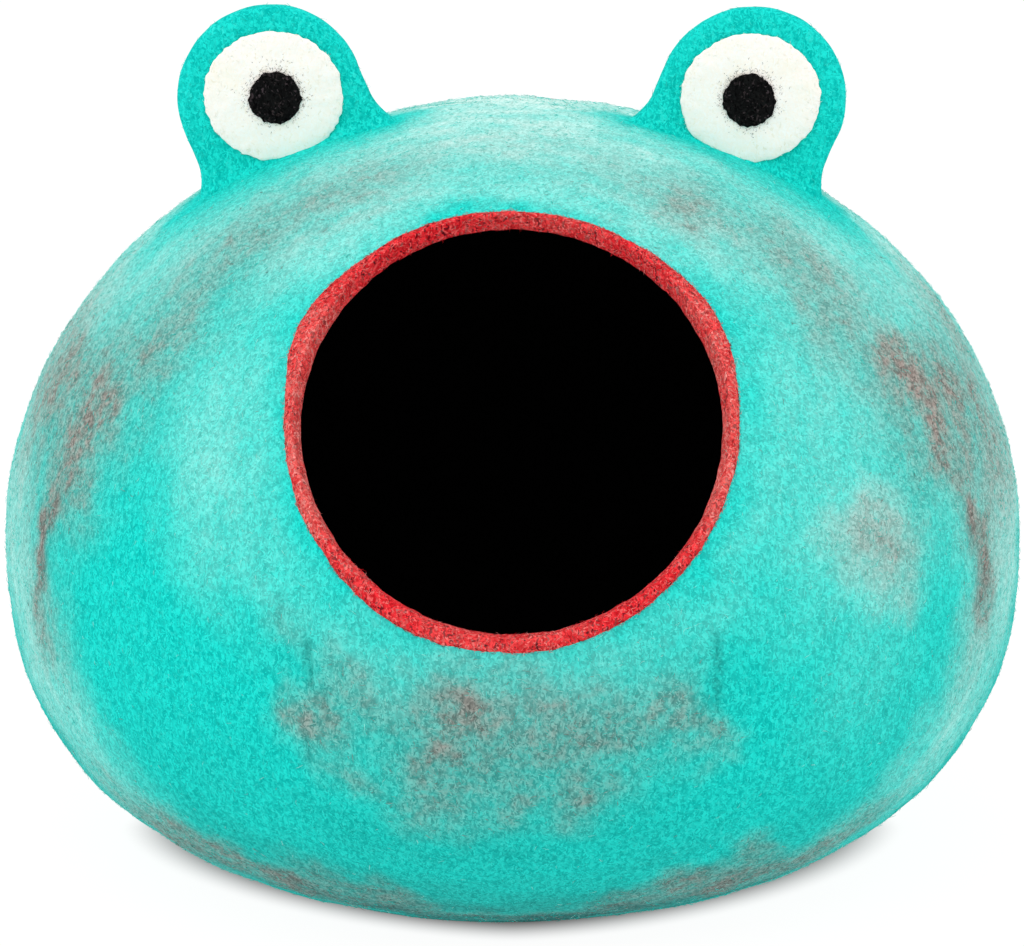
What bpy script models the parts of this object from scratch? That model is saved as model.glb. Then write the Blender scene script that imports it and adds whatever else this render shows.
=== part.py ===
"""Felt cat cave in the form of a plain frog's head, at its real size, in metres with +Z up.

The origin is the middle of the flat base, the mouth faces -Y, and +X is the right side as one
looks into the mouth. The cave is felted in one piece: a hollow, squashed ball of even wall with a
round mouth high in its front. A red band is felted over the raw edge of the mouth, and two eye
tabs stand on top, each with a white disc and a black pupil.
"""

import math

import bmesh
import bpy
from mathutils import Vector

# The body
BODY_WIDTH = 0.500
BODY_HEIGHT = 0.370
WIDEST_HEIGHT = 0.158  # above the base
BASE_DIAMETER = 0.280  # the flat that rests
CROWN_POWER = 1.97  # 2 is an ellipse, more is squarer
BELLY_POWER = 2.5
WALL = 0.006

# The mouth
MOUTH_WIDTH = 0.195  # across the raw edge of the wall
MOUTH_HEIGHT = 0.204
MOUTH_TILT = 26.8  # degrees that it looks up

# The red band felted over the wall's edge, measured on its section
BAND_NOSE = 0.0018  # how far it stands past the raw edge
BAND_THICKNESS = 0.0012  # of each lip, outside and inside the wall
BAND_HEM = 0.0006  # thickness at the end of a lip
BAND_INNER_LIP = 0.0050  # how far the lip inside the wall runs back
BAND_FULLNESS = 0.7  # roundness of the nose: less is blunter
BAND_SHOULDER = 0.55  # share of a lip's width at which it has thinned by a third
BAND_HEM_SLANT = 0.0002
BAND_WIDTHS = (
    # The hand-felted outer lip: turn in degrees from the mouth's right, how far it runs back
    (-90, 0.0062),
    (-40, 0.0052),
    (0, 0.0056),
    (28, 0.0084),
    (55, 0.0060),
    (90, 0.0036),
    (125, 0.0060),
    (155, 0.0088),
    (185, 0.0056),
    (225, 0.0054),
    (270, 0.0062),
)

# The eye tabs
EYE_SPACING = 0.2310  # between the middles of the heads
TAB_FORWARD = 0.017  # the tabs stand this far in front of the widest cross-section
TAB_HEAD_RADIUS = 0.0450
TAB_HEAD_HEIGHT = 0.0271  # middle of the head above the body
TAB_THICKNESS = 0.012
TAB_EDGE_ROUND = 0.0052
TAB_FOOT_FLARE = 0.0050  # the foot spreads sideways by this much,
TAB_FLARE_HEIGHT = 0.013  # from this height down
TAB_FLARE_LIMIT = 1.3  # the flare stops growing this many heights down
TAB_SUNK = 0.012  # the foot starts this far inside the body, and is cut away there

# The eyes
WHITE_WIDTH = 0.0670
WHITE_HEIGHT = 0.0622
WHITE_RISE = 0.0030
WHITE_OFF_MIDDLE = (0.0012, 0.0019)  # towards the other eye, and up, from the head's middle
WHITE_CROWN_START = 0.5  # the flat top reaches this share of the way out
PUPIL_DIAMETER = 0.0252
PUPIL_RISE = 0.0022
PUPIL_OFF_MIDDLE = (0.0020, 0.0012)
PUPIL_CROWN_START = 0.4
DISC_RIM = 0.45  # height of a disc's rounded rim, as a share of its rise

GAP = 0.0003  # between pieces that touch
AROUND = 64  # steps round the mouth's axis
RINGS = 31  # rings from the mouth to the back
EYE_STEPS = 40
NOSE_STEPS = 6
CORNER_STEPS = 3
HALVINGS = 40
SLOPE_STEP = 0.01  # the body's slope is measured over twice this

# Hand felting leaves the ball a little uneven: soft waves round the upright axis and up the side.
UNEVEN_WAVES = (
    # depth, waves around, waves up, turn in degrees
    (0.0008, 2, 1, 90.0),
    (0.0007, 3, 2, 20.0),
    (0.0006, 5, 3, 70.0),
)

HEART = Vector((0, 0, WIDEST_HEIGHT))  # every wall point is measured from here
HALF_WIDTH = BODY_WIDTH / 2
BASE_SHARE = (BASE_DIAMETER / BODY_WIDTH) ** BELLY_POWER
BELLY_DEPTH = WIDEST_HEIGHT / (1 - BASE_SHARE) ** (1 / BELLY_POWER)

TILT = math.radians(MOUTH_TILT)
MOUTH_AXIS = Vector((0, -math.cos(TILT), math.sin(TILT)))
MOUTH_UP = Vector((0, math.sin(TILT), math.cos(TILT)))
SIDEWAYS = Vector((1, 0, 0))


def clear_scene():
    for thing in list(bpy.data.objects):
        bpy.data.objects.remove(thing, do_unlink=True)


def felt(name, colour, roughness=0.95):
    material = bpy.data.materials.new(name)
    material.use_nodes = True
    shader = material.node_tree.nodes["Principled BSDF"]
    shader.inputs["Base Color"].default_value = (*colour, 1)
    shader.inputs["Roughness"].default_value = roughness
    shader.inputs["Metallic"].default_value = 0
    return material


def object_from(name, bm, material):
    """Ends a bmesh as a smooth-shaded object with the one material."""
    mesh = bpy.data.meshes.new(name)
    bm.to_mesh(mesh)
    bm.free()
    made = bpy.data.objects.new(name, mesh)
    bpy.context.scene.collection.objects.link(made)
    if material:
        mesh.materials.append(material)
    mesh.shade_smooth()
    mesh.set_sharp_from_angle(angle=math.radians(50))
    return made


def unevenness(direction):
    around = math.atan2(direction.y, direction.x)
    up = math.asin(max(-1, min(1, direction.z)))
    return sum(
        depth * math.sin(turns * around + math.radians(turn)) * math.cos(rises * up)
        for depth, turns, rises, turn in UNEVEN_WAVES
    )


def body_reach(direction, grow=0.0):
    """From HEART to the outer face along a unit direction, for a body that is grow larger all over."""
    across = math.hypot(direction.x, direction.y) / (HALF_WIDTH + grow)
    if direction.z >= 0:
        depth, power = BODY_HEIGHT - WIDEST_HEIGHT, CROWN_POWER
    else:
        depth, power = BELLY_DEPTH, BELLY_POWER
    along = abs(direction.z) / (depth + grow)
    reach = (across**power + along**power) ** (-1 / power) + unevenness(direction)
    if direction.z < 0:
        reach = min(reach, (WIDEST_HEIGHT + grow) / -direction.z)
    return reach


def mouth_direction(turn, opening):
    """The unit direction at this turn round the mouth's axis, opened this far away from it."""
    sideways = math.cos(turn) * SIDEWAYS + math.sin(turn) * MOUTH_UP
    return math.cos(opening) * MOUTH_AXIS + math.sin(opening) * sideways


def halving(low, high, too_low):
    """The value between low and high at which too_low stops being true."""
    for _ in range(HALVINGS):
        middle = (low + high) / 2
        if too_low(middle):
            low = middle
        else:
            high = middle
    return low


def mouth_opening(turn):
    """How far from the mouth's axis the raw edge lies, as an angle at HEART."""
    oval = math.hypot(math.cos(turn) / MOUTH_WIDTH, math.sin(turn) / MOUTH_HEIGHT)

    def inside_mouth(opening):
        return body_reach(mouth_direction(turn, opening)) * math.sin(opening) < 0.5 / oval

    return halving(math.radians(5), math.radians(60), inside_mouth)


def ring_opening(turn, ring):
    """Ring 1 is the mouth's edge and ring RINGS is the point opposite, low on the back."""
    edge = mouth_opening(turn)
    return edge + (math.pi - edge) * (ring - 1) / (RINGS - 1)


def wall_point(turn, ring, grow=0.0):
    direction = mouth_direction(turn, ring_opening(turn, ring) if ring else 0)
    return HEART + body_reach(direction, grow) * direction


def body_ball(grow, mouth_open):
    """The outer face of the wall: a sphere of AROUND by RINGS, pushed out to the body's form."""
    bm = bmesh.new()
    bmesh.ops.create_uvsphere(bm, u_segments=AROUND, v_segments=RINGS, radius=1)
    for vert in list(bm.verts):
        ring = round(math.acos(max(-1, min(1, vert.co.z))) / math.pi * RINGS)
        if ring == 0 and mouth_open:
            bm.verts.remove(vert)
            continue
        vert.co = wall_point(math.atan2(vert.co.y, vert.co.x), ring, grow)
    bmesh.ops.recalc_face_normals(bm, faces=bm.faces)
    return bm


def make_shell(material):
    shell = object_from("shell", body_ball(0, True), material)
    wall = shell.modifiers.new("wall", "SOLIDIFY")
    wall.thickness = WALL
    wall.offset = -1
    wall.use_even_offset = True
    return shell


def band_width(turn):
    """The outer lip's width at this turn, eased between the rows of BAND_WIDTHS."""
    degrees = (math.degrees(turn) + 90) % 360 - 90
    for (start, before), (end, after) in zip(BAND_WIDTHS, BAND_WIDTHS[1:]):
        if start <= degrees <= end:
            share = (1 - math.cos(math.pi * (degrees - start) / (end - start))) / 2
            return before + (after - before) * share


def lip(width, side):
    """One lip's outer points from its end to the nose, as (back along the wall, out from its middle)."""
    face = WALL / 2 + GAP
    points = [
        (width, face),
        (width - BAND_HEM_SLANT, face + BAND_HEM),
        (width * BAND_SHOULDER, face + (BAND_HEM + 2 * BAND_THICKNESS) / 3),
        (0, face + BAND_THICKNESS),
    ]
    return [(back, side * out) for back, out in points]


def band_section(turn):
    """The band's section, which grips the wall's edge with one lip outside and one inside."""
    half = WALL / 2 + GAP + BAND_THICKNESS
    nose = []
    for step in range(1, NOSE_STEPS):
        angle = math.pi * step / NOSE_STEPS
        nose.append((-BAND_NOSE * math.sin(angle) ** BAND_FULLNESS, half * math.cos(angle)))
    channel = [(-GAP, -WALL / 2 - GAP), (-GAP, WALL / 2 + GAP)]
    return lip(band_width(turn), 1) + nose + lip(BAND_INNER_LIP, -1)[::-1] + channel


def bridge_rows(bm, rows):
    """Joins each closed row of points to the next with a ring of faces."""
    for row, after in zip(rows, rows[1:]):
        for i in range(len(row)):
            j = (i + 1) % len(row)
            bm.faces.new((row[i], row[j], after[j], after[i]))


def make_mouth_band(material):
    """Carries the section round the mouth, square to the wall at each step."""
    bm = bmesh.new()
    rows = []
    for step in range(AROUND):
        turn = math.tau * step / AROUND
        edge = wall_point(turn, 1)
        back = (wall_point(turn, 2) - edge).normalized()
        beside = wall_point(turn + math.tau / AROUND, 1) - wall_point(turn - math.tau / AROUND, 1)
        out = beside.cross(back).normalized()
        if out.dot(edge - HEART) < 0:
            out.negate()
        middle = edge - WALL / 2 * out
        rows.append([bm.verts.new(middle + a * back + b * out) for a, b in band_section(turn)])
    bridge_rows(bm, rows + rows[:1])
    bmesh.ops.recalc_face_normals(bm, faces=bm.faces)
    return object_from("mouth_band", bm, material)


def body_top(x, y):
    """The body's height over a point near its middle."""

    def inside(z):
        line = Vector((x, y, z)) - HEART
        return line.length < body_reach(line.normalized())

    return halving(WIDEST_HEIGHT, BODY_HEIGHT * 1.1, inside)


def tab_place(side):
    """The foot of an eye tab, and the way up the tab, which is square to the body there."""

    def foot_and_up(x):
        foot = Vector((side * x, -TAB_FORWARD, body_top(side * x, -TAB_FORWARD)))
        nearer = body_top(side * (x - SLOPE_STEP), -TAB_FORWARD)
        farther = body_top(side * (x + SLOPE_STEP), -TAB_FORWARD)
        return foot, Vector((side * (nearer - farther), 0, 2 * SLOPE_STEP)).normalized()

    def head_too_near(x):
        foot, up = foot_and_up(x)
        return abs(foot.x + up.x * TAB_HEAD_HEIGHT) < EYE_SPACING / 2

    return foot_and_up(halving(0, EYE_SPACING / 2, head_too_near))


def tab_section(half_width, half_depth):
    """A flat slice through the tab: a rectangle with rounded ends, as (across, behind) points."""
    radius = min(TAB_EDGE_ROUND, half_depth * 0.9, half_width * 0.9)
    points = []
    for corner in range(4):
        across = (half_width - radius) * (1 if corner in (0, 3) else -1)
        behind = (half_depth - radius) * (1 if corner in (0, 1) else -1)
        for step in range(CORNER_STEPS + 1):
            angle = math.pi / 2 * (corner + step / CORNER_STEPS)
            points.append((across + radius * math.cos(angle), behind + radius * math.sin(angle)))
        if corner in (0, 2):
            points.append((0, behind + math.copysign(radius, behind)))
    return points


def tab_half_sizes(height):
    """Half the tab's width and depth at a height above the body."""
    top = TAB_HEAD_HEIGHT + TAB_HEAD_RADIUS
    above = max(0, height - TAB_HEAD_HEIGHT)
    half_width = math.sqrt(max(TAB_HEAD_RADIUS**2 - above**2, 0))
    into_edge = max(0, height - (top - TAB_EDGE_ROUND)) / TAB_EDGE_ROUND
    half_depth = TAB_THICKNESS / 2 - TAB_EDGE_ROUND * (1 - math.sqrt(max(0, 1 - into_edge**2)))
    flare = min(TAB_FLARE_LIMIT, max(0, 1 - height / TAB_FLARE_HEIGHT)) ** 2
    return half_width + TAB_FOOT_FLARE * flare, half_depth


def tab_heights():
    """Slices are close together in the flared foot and towards the top of the round head."""
    foot = [TAB_FLARE_HEIGHT * share for share in (0, 0.3, 0.65, 1)]
    climbs = (0, 14, 28, 41, 53, 63, 71, 77, 82, 85.5)
    head = [TAB_HEAD_HEIGHT + TAB_HEAD_RADIUS * math.sin(math.radians(a)) for a in climbs]
    return [-TAB_SUNK] + foot + head


def body_drop(foot, up, across):
    """How far the body falls away under the tab, this far across from the foot's middle."""
    beside = Vector((up.z, 0, -up.x))
    point = foot + across * beside
    line = (point - HEART).normalized()
    return (HEART + body_reach(line) * line - point).dot(up)


def seat_on_body(piece, cutter):
    """Cuts away what would lie in the wall, so that the piece's foot follows the body."""
    seat = piece.modifiers.new("seat on the body", "BOOLEAN")
    seat.operation = "DIFFERENCE"
    seat.object = cutter


def make_eye_tab(name, side, cutter, material):
    foot, up = tab_place(side)
    beside = Vector((up.z, 0, -up.x))
    bm = bmesh.new()
    rows = []
    for height in tab_heights():
        follows = max(0, 1 - max(0, height) / TAB_HEAD_HEIGHT)
        row = []
        for across, behind in tab_section(*tab_half_sizes(height)):
            rise = height + follows * body_drop(foot, up, across)
            point = foot + across * beside + rise * up + Vector((0, behind, 0))
            row.append(bm.verts.new(point))
        rows.append(row)
    bridge_rows(bm, rows)
    bm.faces.new(rows[0])
    bm.faces.new(rows[-1])
    bmesh.ops.recalc_face_normals(bm, faces=bm.faces)
    seat_on_body(object_from(name, bm, material), cutter)


def on_head(side, inward, raised, forward):
    """A point this far from the head's middle: towards the other eye, up, and to the front."""
    foot, up = tab_place(side)
    return foot + TAB_HEAD_HEIGHT * up + Vector((-side * inward, -forward, raised))


def make_eye_disc(name, middle, sizes, crown_start, material):
    """A crowned oval of felt, turned round the line through middle along Y, its flat back there."""
    width, height, rise = sizes
    radius = width / 2
    rim = rise * DISC_RIM
    profile = (
        # out from the middle, forward from the back
        (0, 0),
        (radius - rim * 0.5, 0),
        (radius, rim * 0.5),
        (radius - rim * 0.35, rim * 1.3),
        (radius * (1 + crown_start) / 2, rise * 0.86),
        (radius * crown_start, rise),
        (0, rise),
    )
    bm = bmesh.new()
    line = [bm.verts.new(middle + Vector((out, -forward, 0))) for out, forward in profile]
    edges = [bm.edges.new(pair) for pair in zip(line, line[1:])]
    bmesh.ops.spin(
        bm,
        geom=line + edges,
        cent=middle,
        axis=(0, 1, 0),
        angle=math.tau,
        steps=EYE_STEPS,
        use_merge=True,
    )
    bmesh.ops.remove_doubles(bm, verts=bm.verts, dist=0.00001)
    for vert in bm.verts:
        vert.co.z = middle.z + (vert.co.z - middle.z) * height / width
    bmesh.ops.recalc_face_normals(bm, faces=bm.faces)
    return object_from(name, bm, material)


def make_cutter():
    """The body grown by the gap, without its mouth. The eye tabs and white discs are cut to it."""
    cutter = object_from("body_cutter", body_ball(GAP, False), None)
    cutter.hide_render = True
    cutter.display_type = "WIRE"
    return cutter


def main():
    clear_scene()
    turquoise = felt("turquoise felt", (0.05, 0.66, 0.57))
    red = felt("red felt", (0.78, 0.03, 0.03))
    white = felt("white felt", (0.90, 0.88, 0.80))
    black = felt("black felt", (0.012, 0.012, 0.014))

    make_shell(turquoise)
    make_mouth_band(red)
    cutter = make_cutter()
    for word, side in (("left", -1), ("right", 1)):
        make_eye_tab(f"eye_tab_{word}", side, cutter, turquoise)
        tab_front = TAB_THICKNESS / 2 + GAP
        white_disc = make_eye_disc(
            f"eye_white_{word}",
            on_head(side, *WHITE_OFF_MIDDLE, tab_front),
            (WHITE_WIDTH, WHITE_HEIGHT, WHITE_RISE),
            WHITE_CROWN_START,
            white,
        )
        seat_on_body(white_disc, cutter)
        make_eye_disc(
            f"pupil_{word}",
            on_head(side, *PUPIL_OFF_MIDDLE, tab_front + WHITE_RISE + GAP),
            (PUPIL_DIAMETER, PUPIL_DIAMETER, PUPIL_RISE),
            PUPIL_CROWN_START,
            black,
        )


main()
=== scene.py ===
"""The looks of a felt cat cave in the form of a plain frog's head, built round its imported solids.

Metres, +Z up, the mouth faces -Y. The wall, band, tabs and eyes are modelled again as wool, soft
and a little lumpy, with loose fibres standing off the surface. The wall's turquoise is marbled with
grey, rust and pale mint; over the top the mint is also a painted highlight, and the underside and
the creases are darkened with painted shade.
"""

import functools
import math

import bpy
import numpy as np
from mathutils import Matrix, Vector, noise

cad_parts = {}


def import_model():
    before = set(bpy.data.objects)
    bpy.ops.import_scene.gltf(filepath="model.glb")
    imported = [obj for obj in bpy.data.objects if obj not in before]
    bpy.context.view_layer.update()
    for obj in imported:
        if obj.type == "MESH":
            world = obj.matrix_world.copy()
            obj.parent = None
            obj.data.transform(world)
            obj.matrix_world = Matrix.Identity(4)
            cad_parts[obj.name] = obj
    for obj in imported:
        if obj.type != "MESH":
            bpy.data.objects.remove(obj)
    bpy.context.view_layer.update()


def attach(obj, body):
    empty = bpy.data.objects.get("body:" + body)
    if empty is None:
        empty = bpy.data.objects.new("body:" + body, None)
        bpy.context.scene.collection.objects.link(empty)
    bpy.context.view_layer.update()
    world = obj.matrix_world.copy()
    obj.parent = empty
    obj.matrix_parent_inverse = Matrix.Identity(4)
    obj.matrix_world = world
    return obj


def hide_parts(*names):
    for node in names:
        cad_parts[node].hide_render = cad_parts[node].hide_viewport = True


# The cave's form, as in the solids
BODY_WIDTH = 0.5
BODY_HEIGHT = 0.37
WIDEST_HEIGHT = 0.158
BASE_DIAMETER = 0.28
CROWN_POWER = 1.97
BELLY_POWER = 2.5
WALL = 0.006
MOUTH_WIDTH = 0.195
MOUTH_HEIGHT = 0.204
MOUTH_TILT = 26.8
UNEVEN_WAVES = (
    # depth, waves around, waves up, turn in degrees
    (0.0008, 2, 1, 90.0),
    (0.0007, 3, 2, 20.0),
    (0.0006, 5, 3, 70.0),
)
EYE_SPACING = 0.231
TAB_FORWARD = 0.017
TAB_HEAD_RADIUS = 0.045
TAB_HEAD_HEIGHT = 0.0271
TAB_THICKNESS = 0.012
TAB_EDGE_ROUND = 0.0052
WHITE_WIDTH = 0.067
WHITE_HEIGHT = 0.0622
WHITE_RISE = 0.003
WHITE_OFF_MIDDLE = (0.0012, 0.0019)
PUPIL_DIAMETER = 0.0252
PUPIL_RISE = 0.0022
PUPIL_OFF_MIDDLE = (0.002, 0.0012)
PUPIL_SUNK = 0.0002

# How fine the wool is modelled
WALL_AROUND = 440
WALL_RINGS = 166
LINING_RINGS = 24
RING_CROWDING = 1.25  # more than 1 sets the rings closer together near the mouth
BAND_AROUND = 520
BAND_SECTION = 34
TAB_AROUND = 88
TAB_ROWS = 66
DISC_AROUND = 200
DISC_ROWS = 40
HALVINGS = 40  # when a place is found by halving what it can lie between

HALF_WIDTH = BODY_WIDTH / 2
BASE_SHARE = (BASE_DIAMETER / BODY_WIDTH) ** BELLY_POWER
BELLY_DEPTH = WIDEST_HEIGHT / (1 - BASE_SHARE) ** (1 / BELLY_POWER)
TILT = math.radians(MOUTH_TILT)
HEART = np.array((0, 0, WIDEST_HEIGHT))  # every wall point is measured from here
MOUTH_AXIS = np.array((0, -math.cos(TILT), math.sin(TILT)))
MOUTH_UP = np.array((0, math.sin(TILT), math.cos(TILT)))
SIDEWAYS = np.array((1, 0, 0))

# The camera, as in the photograph
CAMERA_PLACE = (0, -1.9406, 0.6638)
CAMERA_AIM = (0, 0, 0.185)
LENS = 141.5

# Patches where other wool shows through the turquoise, and patches of painted shade, placed by two
# angles seen from HEART: the turn round the mouth from its right, and the opening away from the
# mouth's axis. A row is turn, opening, half its turn, half its opening, strength and, where the
# patch leans, its lean.
GREY = (
    # broad, thin veils
    (-92, 36, 33, 8, 0.31),
    (-92, 43, 24, 4, 0.1),
    (6, 56, 15, 12, 0.4),
    (14, 68, 18, 12, 0.34),
    (30, 44, 25, 9, 0.38),
    (58, 39, 18, 7, 0.28),
    (176, 56, 15, 12, 0.4),
    (166, 68, 18, 12, 0.34),
    (150, 46, 25, 10, 0.38),
    (122, 41, 18, 8, 0.3),
    (90, 44, 26, 7, 0.14),
    (196, 66, 10, 7, 0.22),
    (-16, 68, 10, 7, 0.22),
    (-90, 67, 44, 4.5, 0.18),
    (0, 66, 12, 9, 0.26),
    # under the mouth
    (-125, 38.5, 6.5, 4, 0.52),
    (-126, 33, 4.5, 2.5, 0.3),
    (-138, 32, 5, 2.5, 0.24),
    (-117, 33, 7, 3.6, 0.4),
    (-99, 33, 8.5, 5, 0.58),
    (-103, 41.5, 5.5, 6.5, 0.42),
    (-88, 31, 10, 2.8, 0.42),
    (-83, 34, 6, 5, 0.3),
    (-90, 42.5, 3.5, 2.2, 0.46),
    (-80, 42, 3.8, 3.5, 0.38),
    (-73, 34.5, 6.5, 5.5, 0.38),
    (-60, 37, 5.5, 4.5, 0.46),
    (-55, 41, 4.5, 2.6, 0.34),
    (-117, 43, 4.5, 2.6, 0.24),
    # along the foot
    (-112, 62.5, 9, 4.5, 0.5),
    (-118, 69, 5, 5, 0.65),
    (-104, 63, 5, 3.5, 0.5),
    (-75, 63.5, 5, 4, 0.6),
    (-68, 62, 5.5, 5, 0.68),
    (-62, 67, 4, 6, 0.72),
    (-58, 60.5, 3, 5, 0.5),
    (-50, 72, 9, 4.5, 0.55),
    (-130, 68.5, 8, 4.5, 0.5),
    (-136, 75, 10, 4.5, 0.62),
    (-90, 67, 30, 3, 0.55),
    (-120, 69.5, 13, 4, 0.5),
    (-58, 69, 13, 4, 0.5),
    # right
    (-16, 44.6, 7, 7, 0.58),
    (-2, 48, 11, 3.5, 0.18),
    (13.5, 51, 4.5, 5.5, 0.62),
    (5.5, 55.5, 9, 5, 0.63),
    (14, 60, 4.5, 6.5, 0.42),
    (8, 66, 9, 5.5, 0.25),
    (-7, 62.5, 3.4, 7.5, 0.88, -1.1),
    (12, 73, 16, 6, 0.3),
    (22, 42, 6, 3.8, 0.36),
    (36, 46.5, 7.5, 5, 0.28),
    (56, 37, 6, 4.5, 0.42),
    # left
    (125, 40.5, 7.5, 4, 0.26),
    (112, 43, 6, 4.5, 0.18),
    (147, 46, 11, 5, 0.2),
    (164, 45, 4.5, 4.5, 0.34),
    (174, 53.5, 8.5, 5.5, 0.47),
    (182, 57, 7.5, 5.5, 0.52),
    (163, 54.5, 4.5, 3.5, 0.26),
    (168, 60.5, 6, 6, 0.5),
    (166, 68, 8, 5.5, 0.36),
    (189, 63.5, 3.4, 6, 0.86, 1.1),
    (197, 68, 5.5, 3.5, 0.34),
    (162, 74, 14, 5, 0.3),
    # behind
    (70, 103, 28, 9, 0.6, 0.05),
    (120, 92, 22, 8, 0.5, -0.05),
    (160, 106, 24, 11, 0.6, 0.08),
    (20, 98, 18, 12, 0.55, -0.1),
    (100, 124, 32, 9, 0.6, 0.05),
    (190, 128, 42, 10, 0.55, 0.05),
    (0, 132, 46, 11, 0.6),
)
RUST = (
    # under the mouth
    (-99, 33, 7.5, 3.4, 0.28),
    (-101, 35.8, 2, 1.6, 0.36),
    (-65, 34.4, 3, 1.6, 0.42),
    (-79, 41, 2, 2, 0.22),
    # along the foot
    (-68, 60.5, 3, 3, 0.4),
    (-63, 67, 2.2, 4, 0.45),
    (-118, 68, 2.2, 4, 0.4),
    (-134, 75, 6, 3, 0.3),
    # right
    (18, 54, 2.6, 2.4, 0.46),
    (10, 61, 4.5, 5.5, 0.3),
    (6.5, 54.5, 7.5, 3.5, 0.36),
    (14, 51, 4, 4, 0.4),
    (-7, 63, 2.2, 5.5, 0.5, -1.1),
    (22, 73, 7, 4, 0.26),
    (57, 37, 4, 2.6, 0.2),
    # left
    (167, 47, 4, 3.4, 0.22),
    (189, 63.5, 2, 4, 0.48, 1.1),
    (174, 54, 5.5, 3.5, 0.18),
    (168, 67, 5.5, 5.5, 0.42),
    # behind
    (70, 104, 14, 4, 0.4),
    (162, 107, 12, 5, 0.4),
    (4, 130, 18, 5, 0.4),
)
# Pale mint wool. Over the top, at turn 90, it is also a painted highlight: the top is lighter where
# light falls.
MINT_AND_HIGHLIGHT = (
    (90, 70, 27, 16, 0.97),
    (90, 48, 38, 12, 0.62),
    (90, 33, 30, 4, 0.26),
    (52, 35, 22, 8, 0.36),
    (128, 35, 22, 8, 0.34),
    (36, 66, 22, 20, 0.46),
    (144, 66, 22, 20, 0.46),
    (5, 75, 26, 10, 0.52),
    (-4, 64, 13, 12, 0.28),
    (-32, 50, 14, 11, 0.06),
    (175, 75, 26, 10, 0.44),
    (26, 50, 26, 16, 0.18),
    (154, 50, 26, 16, 0.07),
    (-16, 44.5, 9, 7.5, 0.5),
    (-2, 35, 34, 11, 0.17),
    (184, 33, 32, 8, 0.2),
    (-90, 29, 60, 5, 0.14),
    (206, 72, 22, 9, 0.28),
    (-26, 72, 22, 9, 0.28),
    (90, 95, 60, 14, 0.5),
)
# Painted shade: here the turquoise is darkened towards a dark teal, together with the creases'
# painted shade.
PAINTED_SHADE = (
    # painted shade on the underside
    (-90, 35, 42, 15, 0.19),
    (-90, 55, 48, 11, 0.26),
    (-90, 64, 46, 7.5, 0.48),
    (-91, 68, 26, 3.2, 0.6),
    (-90, 73.5, 44, 6.5, 0.92),
    (-90, 85, 66, 8, 0.7),
    # right and left, the same painted shade along the slanting grey streaks
    (-9, 62.5, 4, 7, 0.26, -1.1),
    (189, 62.5, 3.6, 6, 0.26, 1.1),
)
MARBLING_AND_PAINTED_SHADE = (GREY, RUST, MINT_AND_HIGHLIGHT, PAINTED_SHADE)
PATCH_STARTS, PATCH_FULL = 1.5, 0.1  # this many half-sizes from a patch's middle
WANDER = (
    # how far a patch's edge strays in degrees, size of the waves in it
    (2.4, 0.022),
    (1.3, 0.008),
)
STREAKS = 0.45  # how much the wool's amount varies from streak to streak
STREAK_ROUNDS = 57.3 / 12  # streaks in a radian round the mouth, each 12 degrees long
STREAK_WIDTH = 2.6  # degrees of opening
PLAIN_FOOT = 0.027  # round an eye tab's foot the wall has the tab's plain wool, this far out
PLAIN_FRONT = 0.054  # the same, in front of the tab's middle
PLAIN_OUTWARD = 0.45  # and more by this share at the outer end of the foot, less at the inner
PLAIN_HALF_LENGTH = TAB_HEAD_RADIUS * 1.04
PLAIN_WANDER = (0.006, 0.009)  # how far that edge strays, size of the waves in it

# Soft troughs pressed into the wall while it was wet
CREASES = (
    # turn and opening where it starts, where it ends, depth, half-width
    (-144, 30.5, -138, 34.0, 0.0007, 0.002),
    (-134, 31.5, -126, 37.0, 0.002, 0.0022),
    (-127, 34.0, -122, 38.5, 0.0014, 0.0018),
    (-125, 40.0, -121, 44.0, 0.001, 0.002),
    (-46, 31.0, -51, 35.5, 0.0012, 0.002),
    (-51, 35.0, -55, 39.5, 0.0018, 0.002),
    (-54, 35.5, -58, 40.5, 0.0013, 0.0018),
)
CREASE_FULL_SHADE = 0.0022  # a trough this deep gets the full painted shade
CREASE_STEPS = 24  # points along a crease
CREASE_FIELD = 0.09  # the wall is pressed no farther than this from a crease's middle
CREASE_ENDS = (4, 0.05)  # how fast a crease deepens from its ends, and its share of depth there
BANK_OFF, BANK_HEIGHT = 2.2, 0.35  # the bank beside it, in half-widths and as a share of its depth
REST_FADE = 0.004  # the lumps fade out below this height, to keep the flat flat
LUMPS = (
    # height, size
    (0.001, 0.045),
    (0.00045, 0.016),
    (0.00028, 0.008),
)


def clear_start():
    """Deselects everything, so that an operator acts on the new piece alone."""
    bpy.ops.object.select_all(action="DESELECT")


def choose(*pieces):
    clear_start()
    for piece in pieces:
        piece.select_set(True)
    bpy.context.view_layer.objects.active = pieces[0]


def set_mode(name):
    bpy.ops.object.mode_set(mode=name)


def read(items, name, kind=np.float32, width=3):
    """One property of each item, as rows of this width."""
    flat = np.empty(len(items) * width, kind)
    items.foreach_get(name, flat)
    return flat.reshape(-1, width)


def add(name, data):
    """A new object in the scene."""
    made = bpy.data.objects.new(name, data)
    bpy.context.scene.collection.objects.link(made)
    return made


def points_of(piece):
    return read(piece.data.vertices, "co").astype(float)


def normals_of(piece):
    return read(piece.data.vertex_normals, "vector").astype(float)


def move_points(piece, points):
    piece.data.vertices.foreach_set("co", points.astype(np.float32).ravel())
    piece.data.update()


def waves(points, size, turn=0.0):
    """Perlin noise of -1 to 1 at each point, with waves of this size."""
    scaled = points / size + turn
    return np.array([noise.noise(Vector(point)) for point in scaled.tolist()])


def smooth(share):
    share = np.clip(share, 0, 1)
    return share * share * (3 - 2 * share)


def scaled_to_one(vectors):
    return vectors / np.linalg.norm(vectors, axis=1)[:, None]


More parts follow.
